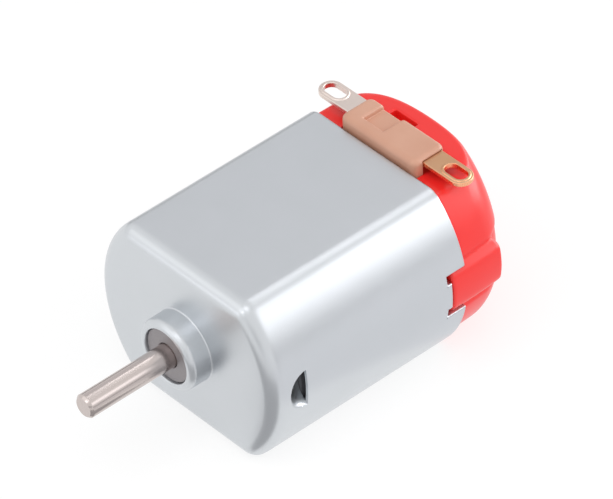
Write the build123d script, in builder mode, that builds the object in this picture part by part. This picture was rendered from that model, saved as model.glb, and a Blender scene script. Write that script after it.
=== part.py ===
from build123d import *

import os
from math import asin, cos, degrees, radians, sin, sqrt

# A small flat-sided brushed DC motor, in millimetres.
# The shaft lies along Y and points forward, to -Y. The terminals are on top, at +Z.
# The origin is on the shaft axis, in the plane of the can's front face.

# Fits
SEAT_GAP = 0.02  # between pieces that are pressed or laid together
RUNNING_GAP = 0.03  # radial, shaft in its bushes
END_PLAY = 0.05  # axial, at each end of the rotor

# Can
CAN_WIDTH = 20.1  # across the round sides
CAN_HEIGHT = 15.1  # across the flats
CAN_LENGTH = 19.5  # front face to rear rim
CAN_WALL = 0.7
CAN_CORNER_RADIUS = 1.6  # between a flat and a round side
CAN_FRONT_RADIUS = 1.25
CAN_FRONT_BANDS = 4  # tapers that make up the front round
CAN_FRONT_INNER_CHAMFER = 0.4
BOSS_DIAMETER = 6.1
BOSS_HEIGHT = 2.0
BOSS_EDGE_CHAMFER = 0.5
BOSS_ROOT_CHAMFER = 0.3

# Lanced stops that hold the magnets away from the front
STOP_REAR = 3.3  # sheared edge, from the front face
STOP_RADIUS = 1.6
STOP_DEPTH = 1.15

# Notches in the rear rim, with a tab folded in from each
NOTCH_WIDTH = 4.0
NOTCH_DEPTH = 1.4
RELIEF_DEPTH = 0.5
TAB_WIDTH = 2.4
TAB_REACH = 1.2

# Shaft and bushes
SHAFT_DIAMETER = 2.0
SHAFT_FRONT = 8.0  # beyond the front boss
SHAFT_REAR = 1.0  # beyond the rear boss
SHAFT_CHAMFER = 0.2
BUSH_RECESS = 0.25
BUSH_STANDOUT = 0.2  # past the wall, towards the rotor
BUSH_CHAMFER = 0.1
REAR_BUSH_DIAMETER = 4.2

# Magnets and their spring clip
MAGNET_GAP = 0.05  # to the can's inner wall
MAGNET_FLAT_GAP = 0.27  # edges of the arc to the can's inner flats
MAGNET_REAR_GAP = 0.88  # to the end bell's spigot
MAGNET_OVERHANG = 1.55  # past each end of the armature stack
CLIP_THICKNESS = 0.4
CLIP_WIDTH = 8.0
CLIP_LEG = 1.0
CLIP_BEND_RADIUS = 0.3

# End bell
END_BELL_LENGTH = 5.9  # rear rim of the can to the rear face
END_BELL_INSET = 0.35  # its round side lies this far inside the can's
END_BELL_FLAT_INSET = 0.05
CROWN_RADIUS = 3.2
CROWN_BANDS = 5  # cones that make up the crown's round
SPIGOT_LENGTH = 3.1
SPIGOT_GAP = 0.05
SPIGOT_CORNER_RADIUS = 0.3
END_BELL_WALL = 1.25
REAR_WALL = 1.7
LUG_GAP = 0.05
LUG_LENGTH = 3.8  # behind the can's rim
LUG_EDGE_CHAMFER = 0.35
LUG_REAR_CHAMFER = 0.8
LUG_CORNER_CHAMFER = 0.8
LUG_GROOVE_RADIUS = 0.6
LUG_GROOVE_OFFSET = 0.5  # middle of a groove, beside the lug
LUG_GROOVE_RISE = 0.15  # middle of a groove, above the drum
REAR_BOSS_DIAMETER = 6.6
REAR_BOSS_HEIGHT = 1.2
REAR_BOSS_CHAMFER = 0.3
REAR_LIP = 0.4
REAR_LIP_DIAMETER = 3.2

# Terminals, brushes and the block that clamps them
TERMINAL_SETBACK = 2.15  # middle of the strip, behind the can's rim
TERMINAL_WIDTH = 2.0
TERMINAL_THICKNESS = 0.4
TERMINAL_SPAN = 16.4  # tip to tip
TERMINAL_RISE = 0.33  # middle of the strip, above the can's flat
TERMINAL_BEND_RADIUS = 0.5
LEG_SPACING = 6.0  # between the middles of the two legs
LEG_LENGTH = 4.0
EYELET_LENGTH = 2.1
EYELET_WIDTH = 1.2
EYELET_EDGE = 0.4  # tip to eyelet
EYELET_RIM = 0.22
EYELET_RIM_HEIGHT = 0.08
BLOCK_LENGTH = 8.4
BLOCK_DEPTH = 3.3
BLOCK_SETBACK = 0.2  # behind the can's rim
BLOCK_RISE = 0.9  # above the can's flat
BLOCK_HEIGHT = 1.9
BLOCK_EDGE_CHAMFER = 0.4
BLOCK_CORNER_RADIUS = 0.6
RECESS_WIDTH = 2.2
RECESS_DEPTH = 0.5
RECESS_LENGTH = 2.2
RECESS_OFFSET = -1.5
CHANNEL_DEPTH = 0.5
BRUSH_THICKNESS = 0.2
BRUSH_WIDTH = 1.8
BRUSH_GAP = 0.06  # to the commutator
BRUSH_FLAT = 1.8  # length that lies along the commutator
BRUSH_TAIL = 2.0
BRUSH_TAIL_LEAN = 0.6
BRUSH_OVERLAP = 1.6  # length laid against the leg
BRUSH_BEND_RADIUS = 0.5
BRUSH_SLIT = 0.3

# Rotor
ROTOR_FLAT_GAP = 0.9  # to the can's inner flats
AIR_GAP = 0.45  # to the magnets
POLE_COUNT = 3
HUB_DIAMETER = 4.4
NECK_WIDTH = 2.4
SHOE_THICKNESS = 1.0
SLOT_OPENING = 1.6
INSULATOR_THICKNESS = 0.4
COIL_SHOE_GAP = 0.15
COIL_HUB_GAP = 0.2
COIL_HALF_ANGLE = 37  # outer corners of a coil, from the middle of its pole
COIL_EDGE_CHAMFER = 0.35
SPACER_DIAMETER = 3.4
WASHER_THICKNESS = 0.25
WASHER_DIAMETER = 3.8

# Commutator
COMMUTATOR_DIAMETER = 4.2
SEGMENT_THICKNESS = 0.4
SEGMENT_SLOT = 0.4
SEGMENT_START = 0.3  # behind the coils
SEGMENT_MARGIN = 0.15  # rear end of the sleeve past the segments
RISER_REACH = 0.9
RISER_WIDTH = 1.2
RISER_THICKNESS = 0.4
RING_START = 1.2  # from the front of the segments
RING_LENGTH = 0.7
RING_THICKNESS = 0.45

REARWARD = (0, 1, 0)
SIDES = {"left": -1, "right": 1}

# Places that several pieces share
can_radius = CAN_WIDTH / 2
can_half = CAN_HEIGHT / 2
can_inner_radius = can_radius - CAN_WALL
can_inner_half = can_half - CAN_WALL
boss_radius = BOSS_DIAMETER / 2
boss_bore = boss_radius - CAN_WALL
shaft_radius = SHAFT_DIAMETER / 2
seat_radius = shaft_radius + SEAT_GAP
bush_bore = shaft_radius + RUNNING_GAP
bush_front = BUSH_RECESS - BOSS_HEIGHT
bush_rear = CAN_WALL + BUSH_STANDOUT

tab_rear = CAN_LENGTH - NOTCH_DEPTH
tab_front = tab_rear - CAN_WALL
tab_tip = can_inner_radius - TAB_REACH

spigot_front = CAN_LENGTH - SPIGOT_LENGTH
rotor_radius = can_inner_half - ROTOR_FLAT_GAP
magnet_inner = rotor_radius + AIR_GAP
magnet_outer = can_inner_radius - MAGNET_GAP
magnet_edge = asin((can_inner_half - MAGNET_FLAT_GAP) / magnet_outer)
magnet_front = STOP_REAR + SEAT_GAP
magnet_rear = spigot_front - MAGNET_REAR_GAP
magnet_length = magnet_rear - magnet_front
magnet_middle = (magnet_front + magnet_rear) / 2

core_front = magnet_front + MAGNET_OVERHANG
core_rear = magnet_rear - MAGNET_OVERHANG
core_length = core_rear - core_front
coil_reach = rotor_radius - SHOE_THICKNESS - COIL_SHOE_GAP
coil_start = HUB_DIAMETER / 2 + COIL_HUB_GAP
coil_depth = coil_reach * cos(radians(COIL_HALF_ANGLE)) - coil_start
coil_build = coil_reach * sin(radians(COIL_HALF_ANGLE)) - NECK_WIDTH / 2
coil_length = core_length + 2 * INSULATOR_THICKNESS + 2 * coil_build
coil_rear = magnet_middle + coil_length / 2

body_rear = CAN_LENGTH + END_BELL_LENGTH
cavity_rear = body_rear - REAR_WALL
cavity_inset = CAN_WALL + SPIGOT_GAP + END_BELL_WALL
cavity_half = can_half - cavity_inset
rear_boss_face = body_rear + REAR_BOSS_HEIGHT
rear_bush_radius = REAR_BUSH_DIAMETER / 2
end_bell_radius = can_radius - END_BELL_INSET
end_bell_half = can_half - END_BELL_FLAT_INSET

terminal_middle = CAN_LENGTH + TERMINAL_SETBACK
terminal_front = terminal_middle - TERMINAL_WIDTH / 2
terminal_level = can_half + TERMINAL_RISE
terminal_top = terminal_level + TERMINAL_THICKNESS / 2
terminal_bottom = terminal_level - TERMINAL_THICKNESS / 2
terminal_tip = TERMINAL_SPAN / 2
leg_middle = LEG_SPACING / 2
leg_inner = leg_middle - TERMINAL_THICKNESS / 2
leg_outer = leg_middle + TERMINAL_THICKNESS / 2
leg_end = terminal_level - LEG_LENGTH
block_front = CAN_LENGTH + BLOCK_SETBACK
block_rear = block_front + BLOCK_DEPTH
block_top = can_half + BLOCK_RISE
block_bottom = block_top - BLOCK_HEIGHT
channel_rear = block_rear + SEAT_GAP
channel_floor = end_bell_half - CHANNEL_DEPTH

commutator_radius = COMMUTATOR_DIAMETER / 2
segment_inner = commutator_radius - SEGMENT_THICKNESS
segment_front = coil_rear + SEGMENT_START
commutator_rear = cavity_rear - WASHER_THICKNESS - 2 * END_PLAY
segment_rear = commutator_rear - SEGMENT_MARGIN
segment_length = segment_rear - segment_front


def across(y):
    """A sketch plane across the shaft, y behind the front face. Its x is X and its y is Z."""
    return Plane(origin=(0, y, 0), x_dir=(1, 0, 0), z_dir=(0, -1, 0))


def flat_sided_outline(inset):
    """Draw the can's cross-section, shrunk by inset, in the open sketch."""
    Circle(can_radius - inset)
    Rectangle(CAN_WIDTH, CAN_HEIGHT - 2 * inset, mode=Mode.INTERSECT)


def pole_arms(reach, trim):
    """Draw the armature's hub and necks, their sides trimmed back by trim, in the open sketch."""
    with PolarLocations(0, POLE_COUNT, start_angle=90):
        Rectangle(reach, NECK_WIDTH - 2 * trim, align=(Align.MIN, Align.CENTER))
    Circle(HUB_DIAMETER / 2 - trim)
    Circle(seat_radius, mode=Mode.SUBTRACT)


def ring(inner, outer, start, length):
    """Add a plain round sleeve about the shaft axis to the open part."""
    with BuildSketch(across(start)) as section:
        Circle(outer)
        Circle(inner, mode=Mode.SUBTRACT)
    extrude(section.sketch, amount=length, dir=REARWARD)


def save(piece, name):
    piece.label = name
    export_step(piece, f"parts/{name}.step")


os.makedirs("parts", exist_ok=True)

# Drawn steel can
with BuildPart() as can_form:
    with BuildSketch(across(CAN_FRONT_RADIUS)) as section:
        flat_sided_outline(0)
        fillet(section.vertices(), CAN_CORNER_RADIUS)
    extrude(amount=CAN_LENGTH - CAN_FRONT_RADIUS, dir=REARWARD)
    for band in range(CAN_FRONT_BANDS):
        near = radians(90 * band / CAN_FRONT_BANDS)
        far = radians(90 * (band + 1) / CAN_FRONT_BANDS)
        inset = CAN_FRONT_RADIUS * (1 - cos(near))
        with BuildSketch(across(CAN_FRONT_RADIUS * (1 - sin(near)))) as section:
            flat_sided_outline(inset)
            fillet(section.vertices(), CAN_CORNER_RADIUS - inset)
        extrude(
            amount=CAN_FRONT_RADIUS * (sin(far) - sin(near)),
            taper=degrees((near + far) / 2),
        )

with BuildPart() as can_room:
    with BuildSketch(across(CAN_WALL)):
        flat_sided_outline(CAN_WALL)
    extrude(amount=CAN_LENGTH, dir=REARWARD)
    chamfer(can_room.faces().sort_by(Axis.Y)[0].edges(), CAN_FRONT_INNER_CHAMFER)

# Sphere that gives each stop its footprint and depth, centred just outside the can
stop_sphere = (STOP_RADIUS**2 + STOP_DEPTH**2) / (2 * STOP_DEPTH)
stop_centre = can_radius - STOP_DEPTH + stop_sphere
stop_places = [(side * stop_centre, STOP_REAR, 0) for side in SIDES.values()]
stop_cut = across(STOP_REAR)

with BuildPart() as stop_skins:
    with Locations(*stop_places):
        Sphere(stop_sphere + CAN_WALL)
    split(bisect_by=stop_cut, keep=Keep.TOP)
    add(can_form.part, mode=Mode.INTERSECT)

with BuildPart() as stop_dents:
    with Locations(*stop_places):
        Sphere(stop_sphere)
    split(bisect_by=stop_cut, keep=Keep.TOP)

with BuildPart() as can:
    add(can_form.part)
    add(can_room.part, mode=Mode.SUBTRACT)

    with BuildSketch(across(-BOSS_HEIGHT)):
        Circle(boss_radius)
    extrude(amount=BOSS_HEIGHT + CAN_WALL / 2, dir=REARWARD)
    boss_root = can.edges().filter_by(GeomType.CIRCLE).filter_by(
        lambda e: abs(e.center().Y) < SEAT_GAP and abs(e.radius - boss_radius) < SEAT_GAP
    )
    chamfer(boss_root, BOSS_ROOT_CHAMFER)
    boss_edge = can.faces().sort_by(Axis.Y)[0].edges()
    chamfer(boss_edge, BOSS_EDGE_CHAMFER)
    with BuildSketch(across(-BOSS_HEIGHT)):
        Circle(boss_bore)
    extrude(amount=BOSS_HEIGHT + 2 * CAN_WALL, dir=REARWARD, mode=Mode.SUBTRACT)

    add(stop_skins.part)
    add(stop_dents.part, mode=Mode.SUBTRACT)

    with Locations((0, CAN_LENGTH, 0)):
        Box(
            2 * CAN_WIDTH,
            2 * NOTCH_DEPTH,
            NOTCH_WIDTH,
            mode=Mode.SUBTRACT,
        )
    relief_width = (NOTCH_WIDTH - TAB_WIDTH) / 2
    relief_middle = (NOTCH_WIDTH + TAB_WIDTH) / 4
    with Locations((0, tab_rear, relief_middle), (0, tab_rear, -relief_middle)):
        Box(2 * CAN_WIDTH, 2 * RELIEF_DEPTH, relief_width, mode=Mode.SUBTRACT)
    tab_length = TAB_REACH + CAN_WALL / 2
    for side in SIDES.values():
        with Locations((side * (tab_tip + tab_length / 2), (tab_front + tab_rear) / 2, 0)):
            Box(tab_length, CAN_WALL, TAB_WIDTH)
save(can.part, "can")

# Sintered bushes
with BuildPart() as front_bush:
    ring(bush_bore, boss_bore - SEAT_GAP, bush_front, bush_rear - bush_front)
    mouth = front_bush.faces().sort_by(Axis.Y)[0].edges().sort_by(SortBy.RADIUS)[0]
    chamfer(mouth, BUSH_CHAMFER)
save(front_bush.part, "front_bush")

rear_bush_front = cavity_rear
rear_bush_rear = rear_boss_face - REAR_LIP - SEAT_GAP
with BuildPart() as rear_bush:
    ring(bush_bore, rear_bush_radius, rear_bush_front, rear_bush_rear - rear_bush_front)
save(rear_bush.part, "rear_bush")

# Arc magnets, one against each round side of the can
half_arc = degrees(magnet_edge)
for name, side in SIDES.items():
    arc_start = (0 if side > 0 else 180) - half_arc
    with BuildPart() as magnet:
        with BuildSketch(across(magnet_front)) as section:
            with BuildLine():
                outer = CenterArc((0, 0), magnet_outer, arc_start, 2 * half_arc)
                inner = CenterArc((0, 0), magnet_inner, arc_start, 2 * half_arc)
                Line(outer @ 0, inner @ 0)
                Line(outer @ 1, inner @ 1)
            make_face()
        extrude(amount=magnet_length, dir=REARWARD)
    save(magnet.part, f"magnet_{name}")

# Leaf clip along the bottom flat, which presses the magnets apart
end_cos = cos(magnet_edge)
end_sin = sin(magnet_edge)
clip_level = can_inner_half - CLIP_THICKNESS / 2 - SEAT_GAP
clip_foot = (clip_level - (CLIP_LEG + SEAT_GAP) * end_cos) / end_sin
clip_tip = (
    clip_foot * end_cos - SEAT_GAP * end_sin,
    -clip_foot * end_sin - SEAT_GAP * end_cos,
)
clip_bend = (clip_tip[0] - CLIP_LEG * end_sin, -clip_level)
with BuildPart() as magnet_clip:
    with BuildSketch(across(magnet_middle - CLIP_WIDTH / 2)):
        with BuildLine():
            FilletPolyline(
                clip_tip,
                clip_bend,
                (-clip_bend[0], clip_bend[1]),
                (-clip_tip[0], clip_tip[1]),
                radius=CLIP_BEND_RADIUS,
            )
        trace(line_width=CLIP_THICKNESS)
    extrude(amount=CLIP_WIDTH, dir=REARWARD)
save(magnet_clip.part, "magnet_clip")

# Lugs of the end bell, which fill the can's notches and run back along the round sides
lug_front = tab_rear + LUG_GAP
lug_length = CAN_LENGTH + LUG_LENGTH - lug_front
with BuildPart() as lugs:
    with BuildSketch(across(lug_front)):
        Circle(can_radius)
        Circle(can_inner_radius - END_BELL_WALL / 2, mode=Mode.SUBTRACT)
        Rectangle(CAN_WIDTH, NOTCH_WIDTH - 2 * LUG_GAP, mode=Mode.INTERSECT)
    extrude(amount=lug_length, dir=REARWARD)
    rear_corners = lugs.edges().filter_by(Axis.X).group_by(Axis.Y)[-1]
    chamfer(rear_corners, LUG_CORNER_CHAMFER)
    crests = lugs.faces().filter_by(GeomType.CYLINDER).group_by(lambda f: f.radius)[-1]
    chamfer(crests.edges().group_by(Axis.Y)[-1], LUG_REAR_CHAMFER)
    chamfer(
        lugs.edges().filter_by(Axis.Y).filter_by(
            lambda e: e.center().X ** 2 + e.center().Z ** 2 > (can_radius - SEAT_GAP) ** 2
        ),
        LUG_EDGE_CHAMFER,
    )

# Moulded end bell: a crowned drum with two flats
crown_profile = []
for band in range(CROWN_BANDS + 1):
    turn = radians(90 * band / CROWN_BANDS)
    crown_profile.append(
        (
            end_bell_radius - CROWN_RADIUS * (1 - cos(turn)),
            body_rear - CROWN_RADIUS * (1 - sin(turn)),
        )
    )
with BuildPart() as end_bell:
    with BuildSketch(Plane.XY):
        with BuildLine():
            Polyline(
                (0, CAN_LENGTH),
                (end_bell_radius, CAN_LENGTH),
                *crown_profile,
                (0, body_rear),
                close=True,
            )
        make_face()
    revolve(axis=Axis.Y)
    with Locations((0, CAN_LENGTH, 0)):
        Box(2 * CAN_WIDTH, 4 * END_BELL_LENGTH, 2 * end_bell_half, mode=Mode.INTERSECT)

    # Grooves along both sides of each lug
    groove_reach = end_bell_radius + LUG_GROOVE_RISE
    groove_level = NOTCH_WIDTH / 2 + LUG_GROOVE_OFFSET
    groove_across = sqrt(groove_reach**2 - groove_level**2)
    with Locations(
        *[(x, body_rear, z) for x in (groove_across, -groove_across) for z in (groove_level, -groove_level)]
    ):
        Cylinder(LUG_GROOVE_RADIUS, 2 * END_BELL_LENGTH, rotation=(90, 0, 0), mode=Mode.SUBTRACT)

    # Channel across the upper flat, under the terminals
    with BuildSketch(Plane.XY.offset(channel_floor)):
        with Locations((0, CAN_LENGTH)):
            Rectangle(2 * CAN_WIDTH, channel_rear - CAN_LENGTH, align=(Align.CENTER, Align.MIN))
    extrude(amount=CAN_HEIGHT, mode=Mode.SUBTRACT)

    # Spigot inside the can
    with BuildSketch(across(spigot_front)) as section:
        flat_sided_outline(CAN_WALL + SPIGOT_GAP)
        fillet(section.vertices(), SPIGOT_CORNER_RADIUS)
    extrude(amount=SPIGOT_LENGTH, dir=REARWARD)

    add(lugs.part)

    # Room for the brushes and the commutator
    with BuildSketch(across(spigot_front)):
        flat_sided_outline(cavity_inset)
    extrude(amount=cavity_rear - spigot_front, dir=REARWARD, mode=Mode.SUBTRACT)

    # Pockets that the can's tabs fold into
    pocket_tip = tab_tip - LUG_GAP
    pocket_reach = can_radius - pocket_tip
    pocket_length = CAN_WALL + 2 * LUG_GAP
    for side in SIDES.values():
        with Locations((side * (pocket_tip + pocket_reach / 2), (tab_front + tab_rear) / 2, 0)):
            Box(pocket_reach, pocket_length, TAB_WIDTH + 2 * LUG_GAP, mode=Mode.SUBTRACT)

    # Seat of the terminal block, with slots for the legs
    block_seat = block_bottom - SEAT_GAP
    with BuildSketch(Plane.XY.offset(block_seat)):
        with Locations((0, block_front - SEAT_GAP)):
            Rectangle(
                BLOCK_LENGTH + 2 * SEAT_GAP,
                BLOCK_DEPTH + 2 * SEAT_GAP,
                align=(Align.CENTER, Align.MIN),
            )
    extrude(amount=end_bell_half - block_seat, mode=Mode.SUBTRACT)
    ledge_length = BLOCK_LENGTH / 2 - leg_outer - TERMINAL_BEND_RADIUS
    for side in SIDES.values():
        ledge_middle = side * (BLOCK_LENGTH / 2 - ledge_length / 2)
        with BuildSketch(Plane.XY.offset(block_seat)):
            with Locations((ledge_middle, terminal_middle)):
                Rectangle(ledge_length, TERMINAL_WIDTH)
        extrude(amount=terminal_bottom - SEAT_GAP - block_seat)
        with BuildSketch(Plane.XY.offset(block_seat)):
            with Locations((side * leg_middle, terminal_middle)):
                Rectangle(
                    TERMINAL_THICKNESS + 2 * SEAT_GAP,
                    TERMINAL_WIDTH + 2 * SEAT_GAP,
                )
        extrude(amount=cavity_half - SEAT_GAP - block_seat, mode=Mode.SUBTRACT)

    # Rear boss with the bush's seat
    with BuildSketch(across(cavity_rear)):
        Circle(REAR_BOSS_DIAMETER / 2)
    extrude(amount=rear_boss_face - cavity_rear, dir=REARWARD)
    boss_rim = end_bell.faces().sort_by(Axis.Y)[-1].edges()
    chamfer(boss_rim, REAR_BOSS_CHAMFER)
    with BuildSketch(across(cavity_rear)):
        Circle(rear_bush_radius + SEAT_GAP)
    extrude(amount=rear_bush_rear + SEAT_GAP - cavity_rear, dir=REARWARD, mode=Mode.SUBTRACT)
    with BuildSketch(across(cavity_rear)):
        Circle(REAR_LIP_DIAMETER / 2)
    extrude(amount=rear_boss_face - cavity_rear, dir=REARWARD, mode=Mode.SUBTRACT)
save(end_bell.part, "end_bell")

# Block that clamps the terminals
with BuildPart() as terminal_block:
    with BuildSketch(Plane.XY.offset(block_bottom)) as plan:
        with Locations((0, block_front)):
            Rectangle(BLOCK_LENGTH, BLOCK_DEPTH, align=(Align.CENTER, Align.MIN))
        fillet(plan.vertices(), BLOCK_CORNER_RADIUS)
    extrude(amount=BLOCK_HEIGHT)
    chamfer(terminal_block.faces().sort_by(Axis.Z)[-1].edges(), BLOCK_EDGE_CHAMFER)
    with BuildSketch(Plane.XY.offset(block_top)):
        with Locations((RECESS_OFFSET, block_rear)):
            Rectangle(RECESS_WIDTH, RECESS_LENGTH, align=(Align.CENTER, Align.MAX))
    extrude(amount=-RECESS_DEPTH, mode=Mode.SUBTRACT)
    groove_length = BLOCK_LENGTH / 2 - leg_inner + SEAT_GAP
    for side in SIDES.values():
        groove_middle = side * (BLOCK_LENGTH / 2 - groove_length / 2)
        with BuildSketch(Plane.XY.offset(block_bottom)):
            with Locations((groove_middle, terminal_middle)):
                Rectangle(groove_length, TERMINAL_WIDTH + 2 * SEAT_GAP)
        extrude(amount=terminal_top + SEAT_GAP - block_bottom, mode=Mode.SUBTRACT)
save(terminal_block.part, "terminal_block")

# Terminals: a strip with an eyelet outside the block, bent down into a leg inside
for name, side in SIDES.items():
    with BuildPart() as terminal:
        with BuildSketch(across(terminal_front)):
            with BuildLine():
                FilletPolyline(
                    (side * terminal_tip, terminal_level),
                    (side * leg_middle, terminal_level),
                    (side * leg_middle, leg_end),
                    radius=TERMINAL_BEND_RADIUS,
                )
            trace(line_width=TERMINAL_THICKNESS)
        extrude(amount=TERMINAL_WIDTH, dir=REARWARD)
        tip_edges = terminal.edges().filter_by(Axis.Z).sort_by(
            lambda e: side * e.center().X
        )[-2:]
        fillet(tip_edges, TERMINAL_WIDTH / 2 - SEAT_GAP)
        eyelet_middle = side * (terminal_tip - EYELET_EDGE - EYELET_LENGTH / 2)
        with BuildSketch(Plane.XY.offset(terminal_top)):
            with Locations((eyelet_middle, terminal_middle)):
                SlotOverall(EYELET_LENGTH + 2 * EYELET_RIM, EYELET_WIDTH + 2 * EYELET_RIM)
        extrude(amount=EYELET_RIM_HEIGHT)
        with BuildSketch(Plane.XY.offset(terminal_top + EYELET_RIM_HEIGHT)):
            with Locations((eyelet_middle, terminal_middle)):
                SlotOverall(EYELET_LENGTH, EYELET_WIDTH)
        extrude(amount=-2 * TERMINAL_THICKNESS, mode=Mode.SUBTRACT)
    save(terminal.part, f"terminal_{name}")

# Brushes: springy leaves laid on the legs and bent in to the commutator
brush_seat = leg_inner - SEAT_GAP - BRUSH_THICKNESS / 2
brush_contact = commutator_radius + BRUSH_GAP + BRUSH_THICKNESS / 2
for name, side in SIDES.items():
    with BuildPart() as brush:
        with BuildSketch(across(terminal_middle - BRUSH_WIDTH / 2)):
            with BuildLine():
                FilletPolyline(
                    (side * brush_seat, leg_end + BRUSH_OVERLAP),
                    (side * brush_seat, leg_end),
                    (side * brush_contact, BRUSH_FLAT / 2),
                    (side * brush_contact, -BRUSH_FLAT / 2),
                    (side * (brush_contact + BRUSH_TAIL_LEAN), -BRUSH_FLAT / 2 - BRUSH_TAIL),
                    radius=BRUSH_BEND_RADIUS,
                )
            trace(line_width=BRUSH_THICKNESS)
        extrude(amount=BRUSH_WIDTH, dir=REARWARD)
        with Locations((side * brush_contact, terminal_middle, -BRUSH_FLAT / 2 - BRUSH_TAIL)):
            Box(
                2 * (BRUSH_THICKNESS + BRUSH_TAIL_LEAN),
                BRUSH_SLIT,
                2 * (BRUSH_FLAT + BRUSH_TAIL),
                mode=Mode.SUBTRACT,
            )
    save(brush.part, f"brush_{name}")

# Shaft
shaft_tip = -BOSS_HEIGHT - SHAFT_FRONT
shaft_length = rear_boss_face + SHAFT_REAR - shaft_tip
with BuildPart() as shaft:
    with BuildSketch(across(shaft_tip)):
        Circle(shaft_radius)
    extrude(amount=shaft_length, dir=REARWARD)
    chamfer(shaft.edges().filter_by(GeomType.CIRCLE), SHAFT_CHAMFER)
save(shaft.part, "shaft")

# Armature stack and its insulating end plates
with BuildPart() as armature_stack:
    with BuildSketch(across(core_front)):
        Circle(rotor_radius)
        Circle(rotor_radius - SHOE_THICKNESS, mode=Mode.SUBTRACT)
        slot_angle = 90 + 180 / POLE_COUNT
        with PolarLocations(rotor_radius, POLE_COUNT, start_angle=slot_angle):
            Rectangle(4 * SHOE_THICKNESS, SLOT_OPENING, mode=Mode.SUBTRACT)
        pole_arms(rotor_radius - SHOE_THICKNESS / 2, 0)
    extrude(amount=core_length, dir=REARWARD)
save(armature_stack.part, "armature_stack")

insulator_fronts = {
    "front_insulator": core_front - INSULATOR_THICKNESS,
    "rear_insulator": core_rear,
}
for name, start in insulator_fronts.items():
    with BuildPart() as insulator:
        with BuildSketch(across(start)):
            pole_arms(rotor_radius - SHOE_THICKNESS, SEAT_GAP)
        extrude(amount=INSULATOR_THICKNESS, dir=REARWARD)
    save(insulator.part, name)

# Coils, one round the neck of each pole
for index in range(POLE_COUNT):
    angle = radians(90 + index * 360 / POLE_COUNT)
    outward = (cos(angle), 0, sin(angle))
    with BuildPart() as coil:
        coil_plane = Plane(
            origin=(coil_start * outward[0], magnet_middle, coil_start * outward[2]),
            x_dir=REARWARD,
            z_dir=outward,
        )
        with BuildSketch(coil_plane):
            RectangleRounded(coil_length, NECK_WIDTH + 2 * coil_build, coil_build)
        extrude(amount=coil_depth)
        outer_face = coil.faces().sort_by(Axis((0, 0, 0), outward))[-1]
        chamfer(outer_face.edges(), min(COIL_EDGE_CHAMFER, coil_depth / 2))
        with BuildSketch(coil_plane):
            Rectangle(
                coil_length - 2 * coil_build + 2 * SEAT_GAP,
                NECK_WIDTH + 2 * SEAT_GAP,
            )
        extrude(amount=coil_depth, mode=Mode.SUBTRACT)
    save(coil.part, f"coil_{index + 1}")

# Commutator: insulating sleeve, copper segments and a retaining ring
with BuildPart() as commutator_sleeve:
    sleeve_front = core_rear + INSULATOR_THICKNESS + SEAT_GAP
    ring(seat_radius, segment_inner - SEAT_GAP, sleeve_front, commutator_rear - sleeve_front)
save(commutator_sleeve.part, "commutator_sleeve")

half_turn = 180 / POLE_COUNT
for index in range(POLE_COUNT):
    turn = 90 + index * 2 * half_turn
    with BuildPart() as segment:
        ring(segment_inner, commutator_radius, segment_front, segment_length)
        with BuildSketch(across(segment_front)):
            with Locations(Location((0, 0), turn)):
                Rectangle(
                    commutator_radius + RISER_REACH,
                    RISER_WIDTH,
                    align=(Align.MIN, Align.CENTER),
                )
            Circle(segment_inner, mode=Mode.SUBTRACT)
        extrude(amount=RISER_THICKNESS, dir=REARWARD)
        with BuildSketch(across(segment_front)):
            with BuildLine():
                sector = CenterArc((0, 0), HUB_DIAMETER, turn - half_turn, 2 * half_turn)
                Line((0, 0), sector @ 0)
                Line((0, 0), sector @ 1)
            make_face()
            offset(amount=-SEGMENT_SLOT / 2, mode=Mode.REPLACE)
        extrude(amount=segment_length, dir=REARWARD, mode=Mode.INTERSECT)
    save(segment.part, f"commutator_segment_{index + 1}")

with BuildPart() as commutator_ring:
    ring_inner = commutator_radius + SEAT_GAP
    ring(ring_inner, ring_inner + RING_THICKNESS, segment_front + RING_START, RING_LENGTH)
save(commutator_ring.part, "commutator_ring")

# Spacer and thrust washers on the shaft
washer_front = bush_rear + END_PLAY
with BuildPart() as front_washer:
    ring(seat_radius, WASHER_DIAMETER / 2, washer_front, WASHER_THICKNESS)
save(front_washer.part, "front_washer")

with BuildPart() as front_spacer:
    spacer_front = washer_front + WASHER_THICKNESS
    spacer_rear = core_front - INSULATOR_THICKNESS
    ring(seat_radius, SPACER_DIAMETER / 2, spacer_front, spacer_rear - spacer_front)
save(front_spacer.part, "front_spacer")

with BuildPart() as rear_washer:
    ring(seat_radius, WASHER_DIAMETER / 2, commutator_rear + SEAT_GAP, WASHER_THICKNESS)
save(rear_washer.part, "rear_washer")
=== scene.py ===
"""The looks of a small flat-sided DC motor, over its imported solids.

Shapes are worked out in millimetres and made in metres. The shaft lies along Y and points to -Y,
and the terminals are on top, at +Z.
"""

from itertools import product
from math import atan2, cos, pi, radians, sin, sqrt

import bmesh
import bpy
import numpy as np
from mathutils import Matrix, Vector


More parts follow.
